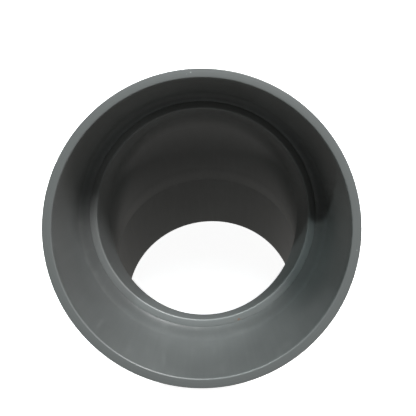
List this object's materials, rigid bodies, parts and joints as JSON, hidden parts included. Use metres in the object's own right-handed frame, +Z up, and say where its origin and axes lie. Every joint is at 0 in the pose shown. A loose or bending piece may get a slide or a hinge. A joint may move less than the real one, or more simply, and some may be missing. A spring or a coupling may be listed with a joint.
{
  "type": "45 degree pipe elbow",
  "caption": "Dark grey PVC-U pipe elbow, 45 degrees, with a solvent-weld socket and a spigot for 110 mm pipe.",
  "frame": {"origin": "bottom centre of the bounding box, on the plane of the spigot's end face", "axes": "+Z up the spigot's axis towards the bend; the socket leans towards -Y, its mouth facing -Y and +Z at 45 degrees; +X across the bend"},
  "size_m": [0.1176, 0.145, 0.1693],
  "materials": {
    "collar_pvc": "semi-gloss moulded PVC-U",
    "spigot_pvc": "semi-gloss extruded PVC-U",
    "knee_pvc": "semi-gloss moulded PVC-U",
    "weld_pvc": "satin weld bead"
  },
  "bodies": {
    "root": {"socket_collar": "collar_pvc", "spigot_pipe": "spigot_pvc", "knee_socket_half": "knee_pvc", "knee_spigot_half": "knee_pvc", "mitre_weld_bead": "weld_pvc"}
  },
  "joints": []
}
